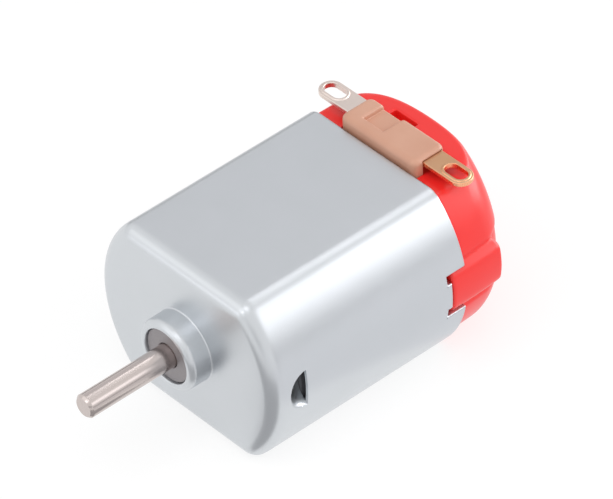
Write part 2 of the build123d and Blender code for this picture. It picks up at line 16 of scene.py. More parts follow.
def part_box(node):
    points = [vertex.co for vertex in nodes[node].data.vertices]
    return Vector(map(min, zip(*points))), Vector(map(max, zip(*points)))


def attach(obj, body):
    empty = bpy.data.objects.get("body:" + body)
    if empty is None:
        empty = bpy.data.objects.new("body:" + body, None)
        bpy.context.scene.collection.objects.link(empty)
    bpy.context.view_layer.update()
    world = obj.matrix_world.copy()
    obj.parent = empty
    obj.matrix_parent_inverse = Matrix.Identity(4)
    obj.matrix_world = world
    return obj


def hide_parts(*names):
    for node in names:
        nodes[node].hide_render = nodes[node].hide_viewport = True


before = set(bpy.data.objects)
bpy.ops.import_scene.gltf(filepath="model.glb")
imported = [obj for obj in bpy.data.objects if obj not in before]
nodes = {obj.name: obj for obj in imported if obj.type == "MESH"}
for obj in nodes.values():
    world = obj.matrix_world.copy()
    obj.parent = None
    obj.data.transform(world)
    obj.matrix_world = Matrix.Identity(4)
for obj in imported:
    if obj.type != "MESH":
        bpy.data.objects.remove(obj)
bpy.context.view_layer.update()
MM = 0.001


def corners(node):
    """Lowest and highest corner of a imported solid, in millimetres."""
    low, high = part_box(node)
    return np.array(low) / MM, np.array(high) / MM


can_low, can_high = corners("can")
bell_low, bell_high = corners("end_bell")
block_low, block_high = corners("terminal_block")
strip_low, strip_high = corners("terminal_right")
shaft_low, shaft_high = corners("shaft")
front_bush_low, front_bush_high = corners("front_bush")
rear_bush_low, rear_bush_high = corners("rear_bush")

# Can
CAN_RADIUS = can_high[0]
CAN_HALF = can_high[2]
CAN_REAR = can_high[1]
BOSS_FRONT = can_low[1]
WALL = 0.7
CORNER_ROUND = 1.6
FRONT_ROUND = 1.25
BOSS_RADIUS = 3.05
BOSS_BORE = 2.35
BOSS_ROOT_ROUND = 0.12
BOSS_EDGE_ROUND = 0.55
BORE_ROUND = 0.12
EDGE_ROUND = 0.12
FINE_HALF = 2.4
FINE_STEP = 0.1
FINE_COUNT = round(2 * FINE_HALF / FINE_STEP) + 1
BODY_START = 4
BODY_STEP = 1
SOFTEN_START = 1

# Lanced stops near the front, and the notches with their folded tabs at the rear
STOP_REAR = 3.3
STOP_RADIUS = 1.6
STOP_DEPTH = 1.15
STOP_SOFTNESS = 0.45
STOP_EDGE = 0.25
STOP_OPEN = 0.2
STOP_MARGIN = 0.2
NOTCH_HALF = 2.0
NOTCH_FLOOR = CAN_REAR - 1.4
RELIEF_FLOOR = NOTCH_FLOOR - 0.5
TAB_HALF = 1.2
TAB_TIP = CAN_RADIUS - WALL - 1.2
TAB_FOLD = 0.25

# End bell
BELL_RADIUS = CAN_RADIUS - 0.35
BELL_HALF = CAN_HALF - 0.05
BELL_REAR = CAN_REAR + 5.9
BELL_DRAFT = 0.9
CROWN = 3.2
FLAT_ROUND = 0.3
BELL_FRONT_ROUND = 0.1
CHANNEL_DEPTH = 0.5
CHANNEL_REAR = block_high[1] + 0.02
CHANNEL_ROUND = 0.12
SPIGOT_GAP = 0.05
SPIGOT_WALL = 1.25
SPIGOT_ROOT = 1
TAB_POCKET_DEPTH = 0.1
TAB_POCKET_GAP = 0.05
CAVITY_REAR = BELL_REAR - 1.7
LUG_HALF = NOTCH_HALF - 0.05
LUG_REAR = CAN_REAR + 3.8
LUG_SHOULDER = LUG_HALF - 0.4
LUG_FOOT = LUG_HALF + 0.5
LUG_SLOPE = 0.84
LUG_SOFTNESS = 0.25
LUG_ROUND = 0.2
LUG_FRONT_ROUND = 0.2
LUG_FILLET = 0.2
LUG_REAR_ROUND = 1.0
LUG_FALL = 0.18
LUG_ROOT = 1
GROOVE_DEPTH = 0.34
GROOVE_WIDTH = 0.35
GROOVE_FADE = 4
POCKET_MIDDLE = -1.2
POCKET_HALF = 1.25
POCKET_DEPTH = 0.9
POCKET_REAR = CHANNEL_REAR + 0.9
REAR_BOSS_RADIUS = 3.3
REAR_BOSS_ROUND = 0.3
REAR_BOSS_FILLET = 0.25
REAR_LIP_RADIUS = 1.6
REAR_LIP_ROUND = 0.15
SEAT_GAP = 0.04

# Terminal block
BLOCK_ROUND = 0.5
BLOCK_PLAN_ROUND = 0.65
RECESS_MIDDLE = -1.5
RECESS_HALF = 1.1
RECESS_LENGTH = 2.2
RECESS_DEPTH = 0.5
RECESS_EDGE_ROUND = 0.25

# Terminals
STRIP_THICKNESS = 0.4
STRIP_MIDDLE = (strip_low[1] + strip_high[1]) / 2
STRIP_HALF = (strip_high[1] - strip_low[1]) / 2
RIM_HEIGHT = 0.08
STRIP_TOP = strip_high[2] - RIM_HEIGHT
STRIP_TIP = strip_high[0]
STRIP_ROUND = 0.06
STRIP_BEND = 0.2
STRIP_FACE = 0.7
EYELET_STRAIGHT = 0.45
EYELET_RADIUS = 0.6
EYELET_EDGE = 0.4
EYELET_RIM = 0.22

# Shaft and bushes
SHAFT_RADIUS = shaft_high[0]
SHAFT_CHAMFER = 0.2
CHAMFER_BREAK = 0.03
CHAMFER_END = 0.02
CHAMFER_GUARD = 0.05
BUSH_BORE = SHAFT_RADIUS + 0.03
BUSH_CHAMFER = 0.08

# Fineness of the meshes: points along each line, cell sizes, and angles in degrees
TURNS = 128
SIDE_STEPS = 18
CORNER_STEPS = 12
FLAT_STEPS = 20
NOSE_STEPS = 10
FACE_STEPS = 9
ROOT_STEPS = 7
BOSS_EDGE_STEPS = 9
BORE_STEPS = 5
INNER_FACE_STEPS = 7
INNER_NOSE_STEPS = 6
FOLD_STEPS = 9
SOFTEN_STEPS = 3
SOFTEN_ANGLE = 50
BELL_CELL = 0.15
BLOCK_CELL = 0.08
STRIP_CELL = 0.05
SETTLE_ROUNDS = 4
LEAST_STEEPNESS = 0.25
CREASE = 35
MOULDED_CREASE = 50
MERGE_DISTANCE = 1e-4
HAIR = 1e-6
TINY = 1e-9


# Meshes

def lathe(profile, closed):
    """Points and faces of a line of (radius, y) turned about the shaft's axis."""
    angles = np.arange(TURNS) * 2 * pi / TURNS
    points = [(r * cos(a), y, r * sin(a)) for r, y in profile for a in angles]
    rows = len(profile)
    faces = []
    for row in range(rows if closed else rows - 1):
        here = row * TURNS
        there = (row + 1) % rows * TURNS
        for j in range(TURNS):
            k = (j + 1) % TURNS
            faces.append([here + j, here + k, there + k, there + j])
    if not closed:
        faces.append(list(range(TURNS)))
        faces.append(list(range((rows - 1) * TURNS, rows * TURNS)))
    return points, faces


def surface(distance, low, high, cell):
    """Points and quads of the surface where distance(x, y, z) is zero.

    Each grid cell that the surface crosses gets one point, in the middle of where it cuts the
    cell's edges, which is then moved onto the surface.
    """
    axes = [np.arange(a - 1.5 * cell, b + 2.5 * cell, cell) for a, b in zip(low, high)]
    values = distance(*np.meshgrid(*axes, indexing="ij"))
    inside = values < 0
    shape = [n - 1 for n in inside.shape]
    filled = np.zeros(shape, int)
    for i, j, k in product((0, 1), repeat=3):
        filled += inside[i : i + shape[0], j : j + shape[1], k : k + shape[2]]
    crossed = (filled > 0) & (filled < 8)
    index = np.full(shape, -1)
    index[crossed] = np.arange(crossed.sum())

    unit = np.eye(3, dtype=int)
    cells = np.argwhere(crossed)
    cuts = np.zeros((len(cells), 1))
    points = np.zeros((len(cells), 3))
    for axis, step in product(range(3), product((0, 1), repeat=2)):
        start = cells + np.insert(step, axis, 0)
        near, far = values[tuple(start.T)], values[tuple((start + unit[axis]).T)]
        cut = (near < 0) != (far < 0)
        share = near / np.where(cut, near - far, 1)
        points += cut[:, None] * (start + share[:, None] * unit[axis])
        cuts += cut[:, None]
    points = [a[0] for a in axes] + cell * points / cuts

    probe = cell / 50
    for _ in range(SETTLE_ROUNDS):
        value = distance(*points.T)
        slope = np.empty_like(points)
        for d in range(3):
            shift = np.zeros(3)
            shift[d] = probe
            slope[:, d] = (distance(*(points + shift).T) - distance(*(points - shift).T)) / (2 * probe)
        steepness = np.maximum((slope**2).sum(1), LEAST_STEEPNESS)
        move = slope * (value / steepness)[:, None]
        length = np.linalg.norm(move, axis=1, keepdims=True)
        points -= move * np.minimum(1, cell / 2 / np.maximum(length, TINY))

    quads = []
    for axis in range(3):
        b, c = (axis + 1) % 3, (axis + 2) % 3
        start = np.argwhere(np.diff(inside.astype(int), axis=axis) != 0)
        ring = [start - unit[b] - unit[c], start - unit[c], start, start - unit[b]]
        quad = np.stack([index[tuple(place.T)] for place in ring], 1)
        entering = ~inside[tuple(start.T)]
        quad[entering] = quad[entering][:, ::-1]
        quads.append(quad)
    return points, np.concatenate(quads).tolist()


def round_and(a, b, radius):
    """Distance to what lies in both shapes, with their shared edge rounded."""
    corner = np.hypot(np.maximum(a + radius, 0), np.maximum(b + radius, 0))
    return np.minimum(np.maximum(a, b), -radius) + corner


def round_or(a, b, radius):
    """Distance to what lies in either shape, with a fillet between them."""
    return -round_and(-a, -b, radius)


def overlap(*shapes):
    """Distance to what lies in all the shapes, with sharp edges."""
    return np.maximum.reduce(np.broadcast_arrays(*shapes))


def put(name, data):
    """Add an object with this data to the scene."""
    obj = bpy.data.objects.new(name, data)
    bpy.context.scene.collection.objects.link(obj)
    return obj


def shade(mesh, sharp):
    """Smooth shading, apart from edges sharper than an angle in degrees."""
    mesh.shade_smooth()
    mesh.set_sharp_from_angle(angle=radians(sharp))


def piece(name, points, faces, materials, body, node, sharp=CREASE):
    """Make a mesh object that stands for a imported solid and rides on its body."""
    mesh = bpy.data.meshes.new(name)
    mesh.from_pydata((np.asarray(points) * MM).tolist(), [], faces)
    obj = put(name, mesh)
    for material in materials:
        mesh.materials.append(material)
    work = bmesh.new()
    work.from_mesh(mesh)
    bmesh.ops.remove_doubles(work, verts=work.verts, dist=MERGE_DISTANCE * MM)
    bmesh.ops.recalc_face_normals(work, faces=work.faces)
    work.to_mesh(mesh)
    work.free()
    shade(mesh, sharp)
    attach(obj, body)
    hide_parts(node)
    return obj


# Materials

FINE_DETAIL = 4
BROAD_DETAIL = 3
BROAD_GRAIN = 4
NOISE_LOW = 0.3
NOISE_HIGH = 0.7
RELIEF_HEIGHT = 0.01


def linear(red, green, blue):
    """A colour given in screen values from 0 to 255, as the shaders want it."""
    shares = [v / 255 for v in (red, green, blue)]
    return [s / 12.92 if s <= 0.04045 else ((s + 0.055) / 1.055) ** 2.4 for s in shares] + [1]


def finish(name, colour, tint, metal, rough, grain, bump, stretch=(1, 1, 1)):
    """A surface whose gloss and relief vary with grain, a size in millimetres.

    colour and tint are the two ends of the colour in screen values, which varies more broadly,
    rough the two ends of the roughness, and stretch the grain's length along X, Y and Z.
    """
    material = bpy.data.materials.new(name)
    material.use_nodes = True
    tree = material.node_tree
    shader = tree.nodes["Principled BSDF"]
    shader.inputs["Metallic"].default_value = metal

    place = tree.nodes.new("ShaderNodeTexCoord")
    scale = tree.nodes.new("ShaderNodeMapping")
    scale.inputs["Scale"].default_value = [1 / s for s in stretch]
    tree.links.new(place.outputs["Object"], scale.inputs["Vector"])

    fine = tree.nodes.new("ShaderNodeTexNoise")
    fine.inputs["Scale"].default_value = 1 / (grain * MM)
    fine.inputs["Detail"].default_value = FINE_DETAIL
    broad = tree.nodes.new("ShaderNodeTexNoise")
    broad.inputs["Scale"].default_value = 1 / (BROAD_GRAIN * MM)
    broad.inputs["Detail"].default_value = BROAD_DETAIL
    tree.links.new(scale.outputs["Vector"], fine.inputs["Vector"])
    tree.links.new(place.outputs["Object"], broad.inputs["Vector"])

    mix = tree.nodes.new("ShaderNodeMix")
    mix.data_type = "RGBA"
    mix.inputs["A"].default_value = linear(*colour)
    mix.inputs["B"].default_value = linear(*tint)
    tree.links.new(broad.outputs["Fac"], mix.inputs["Factor"])
    tree.links.new(mix.outputs["Result"], shader.inputs["Base Color"])

    gloss = tree.nodes.new("ShaderNodeMapRange")
    gloss.inputs["From Min"].default_value = NOISE_LOW
    gloss.inputs["From Max"].default_value = NOISE_HIGH
    gloss.inputs["To Min"].default_value = rough[0]
    gloss.inputs["To Max"].default_value = rough[1]
    tree.links.new(fine.outputs["Fac"], gloss.inputs["Value"])
    tree.links.new(gloss.outputs["Result"], shader.inputs["Roughness"])

    relief = tree.nodes.new("ShaderNodeBump")
    relief.inputs["Strength"].default_value = bump
    relief.inputs["Distance"].default_value = RELIEF_HEIGHT * MM
    tree.links.new(fine.outputs["Fac"], relief.inputs["Height"])
    tree.links.new(relief.outputs["Normal"], shader.inputs["Normal"])
    return material


ALONG_SHAFT = (1, 30, 1)
ROUND_SHAFT = (20, 1, 20)
ALONG_STRIP = (20, 1, 1)
DOWN_EDGE = (1, 1, 8)
DOWN_LEAF = (1, 1, 20)
IN_SHEETS = (30, 1, 30)
ALONG_WIRE = (1, 20, 1)

plated_steel = finish(
    "plated_steel", (204, 208, 211), (209, 212, 216), 1, (0.3, 0.35), 0.06, 0.02, ALONG_SHAFT
)
ground_steel = finish(
    "ground_steel", (194, 184, 180), (208, 197, 193), 1, (0.18, 0.21), 0.05, 0.05, ROUND_SHAFT
)
sintered_bronze = finish(
    "sintered_bronze", (144, 140, 143), (161, 156, 157), 0.7, (0.4, 0.6), 0.12, 0.5
)
red_plastic = finish("red_plastic", (240, 36, 33), (247, 48, 44), 0, (0.285, 0.295), 0.12, 0.05)
tan_plastic = finish("tan_plastic", (200, 144, 118), (218, 170, 146), 0, (0.38, 0.5), 0.25, 0.12)
dull_copper = finish(
    "dull_copper", (205, 158, 120), (214, 172, 138), 1, (0.3, 0.42), 0.1, 0.15, ALONG_STRIP
)
tinned_copper = finish(
    "tinned_copper", (220, 206, 198), (230, 216, 208), 1, (0.28, 0.4), 0.1, 0.15, ALONG_STRIP
)
sheared_copper = finish(
    "sheared_copper", (246, 176, 132), (252, 190, 150), 1, (0.22, 0.34), 0.06, 0.3, DOWN_EDGE
)
ferrite = finish("ferrite", (70, 70, 74), (86, 86, 90), 0, (0.55, 0.75), 0.15, 0.4)
spring_steel = finish(
    "spring_steel", (150, 152, 158), (170, 172, 176), 1, (0.25, 0.35), 0.1, 0.15, ALONG_STRIP
)
bronze_leaf = finish(
    "bronze_leaf", (200, 150, 100), (212, 166, 118), 1, (0.25, 0.35), 0.1, 0.15, DOWN_LEAF
)
core_steel = finish(
    "core_steel", (128, 128, 132), (146, 146, 150), 1, (0.35, 0.5), 0.5, 0.6, IN_SHEETS
)
fibre_board = finish("fibre_board", (178, 164, 128), (194, 178, 142), 0, (0.6, 0.8), 0.15, 0.5)
copper_wire = finish(
    "copper_wire", (184, 104, 48), (202, 122, 62), 0.8, (0.25, 0.4), 0.16, 0.8, ALONG_WIRE
)
phenolic = finish("phenolic", (70, 56, 46), (88, 70, 58), 0, (0.4, 0.55), 0.2, 0.3)
turned_copper = finish(
    "turned_copper", (214, 146, 104), (226, 164, 124), 1, (0.2, 0.32), 0.06, 0.2, ROUND_SHAFT
)
turned_brass = finish(
    "turned_brass", (206, 178, 104), (218, 192, 124), 1, (0.2, 0.3), 0.06, 0.2, ROUND_SHAFT
)
nylon = finish("nylon", (232, 230, 222), (240, 238, 232), 0, (0.4, 0.5), 0.2, 0.1)

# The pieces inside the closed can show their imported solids
HIDDEN = {
    "magnet_left": ferrite,
    "magnet_right": ferrite,
    "magnet_clip": spring_steel,
    "brush_left": bronze_leaf,
    "brush_right": bronze_leaf,
    "armature_stack": core_steel,
    "front_insulator": fibre_board,
    "rear_insulator": fibre_board,
    "coil_1": copper_wire,
    "coil_2": copper_wire,
    "coil_3": copper_wire,
    "commutator_sleeve": phenolic,
    "commutator_segment_1": turned_copper,
    "commutator_segment_2": turned_copper,
    "commutator_segment_3": turned_copper,
    "commutator_ring": fibre_board,
    "front_spacer": turned_brass,
    "front_washer": nylon,
    "rear_washer": nylon,
}
for node, material in HIDDEN.items():
    nodes[node].data.materials.clear()
    nodes[node].data.materials.append(material)


# Can

def can_columns():
    """Places round the can's outside, (x, z), with the outward direction at each."""
    corner_z = CAN_HALF - CORNER_ROUND
    corner_x = sqrt((CAN_RADIUS - CORNER_ROUND) ** 2 - corner_z**2)
    turn = atan2(corner_z, corner_x)
    fine = np.arcsin(np.linspace(-FINE_HALF, FINE_HALF, FINE_COUNT) / CAN_RADIUS)
    wide = np.linspace(fine[-1], turn, SIDE_STEPS)[1:]
    bend = np.linspace(turn, pi / 2, CORNER_STEPS)[1:]
    flat = np.linspace(corner_x, -corner_x, FLAT_STEPS)[1:]

    places = []
    ways = []
    for angle in np.concatenate([-wide[::-1], fine, wide]):
        ways.append((cos(angle), sin(angle)))
        places.append((CAN_RADIUS * cos(angle), CAN_RADIUS * sin(angle)))
    for angle in bend:
        ways.append((cos(angle), sin(angle)))
        places.append((corner_x + CORNER_ROUND * cos(angle), corner_z + CORNER_ROUND * sin(angle)))
    for x in flat:
        ways.append((0, 1))
        places.append((x, CAN_HALF))
    for angle in pi - bend[-2::-1]:
        ways.append((cos(angle), sin(angle)))
        places.append((-corner_x + CORNER_ROUND * cos(angle), corner_z + CORNER_ROUND * sin(angle)))
    half = np.array(places), np.array(ways)
    return [np.concatenate([part, -part]) for part in half]


def stop_sink(y, z):
    """How far the lanced stop is pushed in at a place on the round side."""
    ball = (STOP_RADIUS**2 + STOP_DEPTH**2) / (2 * STOP_DEPTH)
    from_middle = (y - STOP_REAR) ** 2 + z**2
    sink = np.sqrt(np.maximum(ball**2 - from_middle, 0)) - (ball - STOP_DEPTH)
    soft = (np.maximum(sink + STOP_SOFTNESS, 0)) ** 2 / (4 * STOP_SOFTNESS)
    return np.where(sink > STOP_SOFTNESS, sink, soft)


def arc(middle_r, middle_y, radius, start, end, steps):
    """Points of an arc in the (radius, y) plane, with the angles in degrees."""
    angles = np.radians(np.linspace(start, end, steps))
    return [(middle_r + radius * cos(a), middle_y + radius * sin(a)) for a in angles]


def can_mesh():
    """Points and faces of the drawn can: two skins, a front with a boss, and the cut edges.

    The skins have a point in each column at each level. The level behind the stops comes twice,
    so that their sunk rear edge and the uncut wall behind it stay apart.
    """
    places, ways = can_columns()
    count = len(places)
    around = places / np.linalg.norm(places, axis=1, keepdims=True)
    stop_lines = np.arange(STOP_REAR - STOP_RADIUS - STOP_MARGIN, STOP_REAR, FINE_STEP)
    body_lines = np.arange(BODY_START, RELIEF_FLOOR, BODY_STEP)
    notch_lines = np.arange(RELIEF_FLOOR, CAN_REAR, FINE_STEP)
    stop_edges = [STOP_REAR, STOP_REAR]
    levels = np.concatenate(
        [[FRONT_ROUND], stop_lines, stop_edges, body_lines, notch_lines, [CAN_REAR]]
    )
    split = int(np.argmax(levels > STOP_REAR - HAIR))

    points = []

    def row(plan, y):
        points.extend((x, y, z) for x, z in plan)
        return range(len(points) - count, len(points))

    outer = []
    inner = []
    on_side = np.abs(places[:, 1]) < FINE_HALF
    lanced = on_side & (stop_sink(STOP_REAR, places[:, 1]) > STOP_OPEN)
    for step, y in enumerate(levels):
        sink = stop_sink(y, places[:, 1]) if step <= split else np.zeros(count)
        sink = np.where(on_side, sink, 0)[:, None]
        thick = np.where(lanced & (step == split + 1), STOP_EDGE, WALL)[:, None]
        outer.append(row(places - sink * ways, y))
        inner.append(row(places - (thick + sink) * ways, y))

    # The front, from the outer skin over the face and the boss to the inner skin
    nose = []
    for angle in np.radians(np.linspace(0, 90, NOSE_STEPS))[1:]:
        inset = FRONT_ROUND * (1 - cos(angle))
        nose.append(row(places - inset * ways, FRONT_ROUND * (1 - sin(angle))))
    rim = places - FRONT_ROUND * ways
    root = (BOSS_RADIUS + BOSS_ROOT_ROUND) * around
    for share in np.linspace(0, 1, FACE_STEPS)[1:-1]:
        nose.append(row(rim + share * (root - rim), 0))
    root_middle = BOSS_RADIUS + BOSS_ROOT_ROUND, -BOSS_ROOT_ROUND
    edge_middle = BOSS_RADIUS - BOSS_EDGE_ROUND, BOSS_FRONT + BOSS_EDGE_ROUND
    bore_middle = BOSS_BORE + BORE_ROUND, BOSS_FRONT + BORE_ROUND
    profile = arc(*root_middle, BOSS_ROOT_ROUND, 90, 180, ROOT_STEPS)
    profile += arc(*edge_middle, BOSS_EDGE_ROUND, 0, -90, BOSS_EDGE_STEPS)
    profile += arc(*bore_middle, BORE_ROUND, -90, -180, BORE_STEPS)
    profile += [(BOSS_BORE, WALL)]
    for radius, y in profile:
        nose.append(row(radius * around, y))
    mouth = BOSS_BORE * around
    for share in np.linspace(0, 1, INNER_FACE_STEPS)[1:]:
        nose.append(row(mouth + share * (rim - mouth), WALL))
    inside_round = FRONT_ROUND - WALL
    for angle in np.radians(np.linspace(90, 0, INNER_NOSE_STEPS))[1:-1]:
        inset = FRONT_ROUND - inside_round * cos(angle)
        nose.append(row(places - inset * ways, FRONT_ROUND - inside_round * sin(angle)))

    middles = (places[:, 1] + np.roll(places[:, 1], -1)) / 2
    faces = []

    def present(step, column):
        """Whether the skins go on from a level, so not in a notch or past the rear rim."""
        if step == split or step == len(levels) - 1:
            return False
        in_notch = abs(middles[column % count]) < NOTCH_HALF
        return not (in_notch and levels[step] > RELIEF_FLOOR - HAIR)

    def wall(step, column, other_step, other_column):
        """A face through the sheet's thickness, along a cut edge."""
        a, b = outer[step][column % count], outer[other_step][other_column % count]
        c, d = inner[other_step][other_column % count], inner[step][column % count]
        faces.append([a, b, c, d])

    chain = [outer[0], *nose, inner[0]]
    for near, far in zip(chain, chain[1:]):
        for j in range(count):
            k = (j + 1) % count
            faces.append([near[j], near[k], far[k], far[j]])
    for step in range(len(levels) - 1):
        for j in range(count):
            if not present(step, j):
                continue
            k = (j + 1) % count
            for skin in (outer, inner):
                faces.append([skin[step][j], skin[step][k], skin[step + 1][k], skin[step + 1][j]])
            cut_stop = stop_sink(STOP_REAR, middles[j]) > 0
            tab_root = abs(middles[j]) < TAB_HALF and abs(levels[step + 1] - RELIEF_FLOOR) < HAIR
            if step + 1 == split:
                if cut_stop:
                    wall(step + 1, j, step + 1, k)
            elif not present(step + 1, j) and not tab_root:
                wall(step + 1, j, step + 1, k)
            if step == split + 1 and cut_stop:
                wall(step, j, step, k)
            for side, column in ((-1, j), (1, k)):
                if not present(step, j + side):
                    wall(step, column, step + 1, column)

    for side in (1, -1):
        add_tab(side, points, faces)
    return points, faces


def add_tab(side, points, faces):
    """The tab left between the two reliefs of a notch, folded in over the magnet."""
    fold = arc(CAN_RADIUS - TAB_FOLD, NOTCH_FLOOR - TAB_FOLD, TAB_FOLD, 0, 90, FOLD_STEPS)
    profile = [(CAN_RADIUS, RELIEF_FLOOR)] + fold + [(TAB_TIP, NOTCH_FLOOR), (TAB_TIP, RELIEF_FLOOR)]
    stations = np.linspace(-TAB_HALF, TAB_HALF, round(2 * TAB_HALF / FINE_STEP) + 1)
    inside = 1 - WALL / CAN_RADIUS
    first = len(points)
    for z in stations:
        retreat = CAN_RADIUS - sqrt(CAN_RADIUS**2 - z**2)
        points.extend((side * (x - retreat), y, z) for x, y in profile)
        points.append((side * (CAN_RADIUS - retreat) * inside, RELIEF_FLOOR, z * inside))
    rows = len(profile) + 1
    for station in range(len(stations) - 1):
        here = first + station * rows
        for k in range(rows - 1):
            faces.append([here + k, here + k + 1, here + rows + k + 1, here + rows + k])
    faces.append([first + k for k in range(rows)])
    faces.append([first + (len(stations) - 1) * rows + k for k in range(rows)])


def soften(obj, beyond, radius):
    """Round the sharp edges of a mesh that lie behind a given y."""
    work = bmesh.new()
    work.from_mesh(obj.data)
    sharp = []
    for edge in work.edges:
        behind = (edge.verts[0].co.y + edge.verts[1].co.y) / 2 > beyond * MM
        if behind and edge.is_manifold and edge.calc_face_angle() > radians(SOFTEN_ANGLE):
            sharp.append(edge)
    bmesh.ops.bevel(
        work, geom=sharp, offset=radius * MM, segments=SOFTEN_STEPS, profile=0.5, affect="EDGES"
    )
    work.to_mesh(obj.data)
    work.free()


can = piece("can_shell", *can_mesh(), [plated_steel], "stator", "can")
soften(can, RELIEF_FLOOR - SOFTEN_START, EDGE_ROUND)
shade(can.data, CREASE)


# End bell

def bell_distance(x, y, z):
    """The end bell: a crowned dome with lugs in the notches, a spigot and a rear boss."""
    reach = np.hypot(x, z)
    rise = np.clip((y - CAN_REAR) / (BELL_REAR - CAN_REAR), 0, 1)
    draft = BELL_DRAFT * rise**2 * np.maximum(1 - (z / BELL_HALF) ** 2, 0)
    beside_lug = np.maximum(np.abs(z) - LUG_HALF, 0) / GROOVE_WIDTH
    groove_fade = np.clip(1 - (y - LUG_REAR) / GROOVE_FADE, 0, 1)
    groove = GROOVE_DEPTH * np.exp(-(beside_lug**2)) * groove_fade
    body = round_and(reach + draft + groove - BELL_RADIUS, y - BELL_REAR, CROWN)
    body = round_and(body, np.abs(z) - BELL_HALF, FLAT_ROUND)
    channel = overlap(BELL_HALF - CHANNEL_DEPTH - z, y - CHANNEL_REAR)
    pocket_sides = np.abs(x - POCKET_MIDDLE) - POCKET_HALF
    pocket = overlap(pocket_sides, BELL_HALF - POCKET_DEPTH - z, y - POCKET_REAR)
    body = round_and(body, -np.minimum(channel, pocket), CHANNEL_ROUND)
    body = round_and(body, CAN_REAR + SPIGOT_GAP - y, BELL_FRONT_ROUND)

    fall = LUG_FALL * np.clip((y - CAN_REAR) / (LUG_REAR - CAN_REAR), 0, 1) ** 2
    past_shoulder = np.abs(z) - LUG_SHOULDER
    slope = LUG_SLOPE * (past_shoulder + np.hypot(past_shoulder, LUG_SOFTNESS)) / 2
    lug_half = np.where(y < CAN_REAR + SPIGOT_GAP, LUG_HALF, LUG_FOOT)
    lug = round_and(np.abs(z) - lug_half, y - LUG_REAR, LUG_REAR_ROUND)
    lug = round_and(reach + fall + slope - CAN_RADIUS, lug, LUG_ROUND)
    lug = round_and(lug, NOTCH_FLOOR + SPIGOT_GAP - y, LUG_FRONT_ROUND)
    lug = overlap(lug, BELL_RADIUS - LUG_ROOT - reach)
    body = round_or(body, lug, LUG_FILLET)

    spigot_radius = CAN_RADIUS - WALL - SPIGOT_GAP
    spigot_half = CAN_HALF - WALL - SPIGOT_GAP
    spigot_ends = overlap(bell_low[1] - y, y - CAN_REAR - SPIGOT_ROOT)
    spigot = overlap(reach - spigot_radius, np.abs(z) - spigot_half, spigot_ends)
    tab_pocket = overlap(
        TAB_TIP - TAB_POCKET_DEPTH - reach,
        np.abs(z) - TAB_HALF - TAB_POCKET_GAP,
        y - NOTCH_FLOOR - TAB_POCKET_GAP,
    )
    spigot = overlap(spigot, -tab_pocket)
    body = np.minimum(body, spigot)

    boss = round_and(reach - REAR_BOSS_RADIUS, y - bell_high[1], REAR_BOSS_ROUND)
    body = round_or(body, overlap(boss, CAVITY_REAR - y), REAR_BOSS_FILLET)
    cavity = overlap(
        reach - spigot_radius + SPIGOT_WALL, np.abs(z) - spigot_half + SPIGOT_WALL, y - CAVITY_REAR
    )
    body = overlap(body, -cavity)
    body = round_and(body, REAR_LIP_RADIUS - reach, REAR_LIP_ROUND)
    bush_seat = overlap(reach - rear_bush_high[0] - SEAT_GAP, y - rear_bush_high[1] - SEAT_GAP)
    body = overlap(body, -bush_seat)
    half_block = block_high[0] + SEAT_GAP
    block_seat = overlap(np.abs(x) - half_block, block_low[2] - SEAT_GAP - z, y - CHANNEL_REAR)
    return overlap(body, -block_seat)


bell_mesh = surface(bell_distance, bell_low, bell_high, BELL_CELL)
piece("end_bell_moulding", *bell_mesh, [red_plastic], "stator", "end_bell", MOULDED_CREASE)


# Terminal block

def block_distance(x, y, z):
    """The terminal block: a rounded bar with a recess on top and a slot for each strip."""
    middle_y = (block_low[1] + block_high[1]) / 2
    beyond_x = np.abs(x) - block_high[0] + BLOCK_PLAN_ROUND
    beyond_y = np.abs(y - middle_y) - (block_high[1] - middle_y) + BLOCK_PLAN_ROUND
    plan = np.hypot(np.maximum(beyond_x, 0), np.maximum(beyond_y, 0)) - BLOCK_PLAN_ROUND
    plan += np.minimum(np.maximum(beyond_x, beyond_y), 0)
    body = round_and(plan, z - block_high[2], BLOCK_ROUND)
    body = overlap(body, block_low[2] - z)
    recess_floor = block_high[2] - RECESS_DEPTH - z
    recess_front = block_high[1] - RECESS_LENGTH - y
    recess = overlap(np.abs(x - RECESS_MIDDLE) - RECESS_HALF, recess_front, recess_floor)
    body = round_and(body, -recess, RECESS_EDGE_ROUND)
    slot = overlap(
        strip_low[0] - SEAT_GAP - np.abs(x),
        np.abs(y - STRIP_MIDDLE) - STRIP_HALF - SEAT_GAP,
        z - STRIP_TOP - SEAT_GAP,
    )
    return overlap(body, -slot)


block_mesh = surface(block_distance, block_low, block_high, BLOCK_CELL)
piece("terminal_block_moulding", *block_mesh, [tan_plastic], "stator", "terminal_block", MOULDED_CREASE)


# Terminals

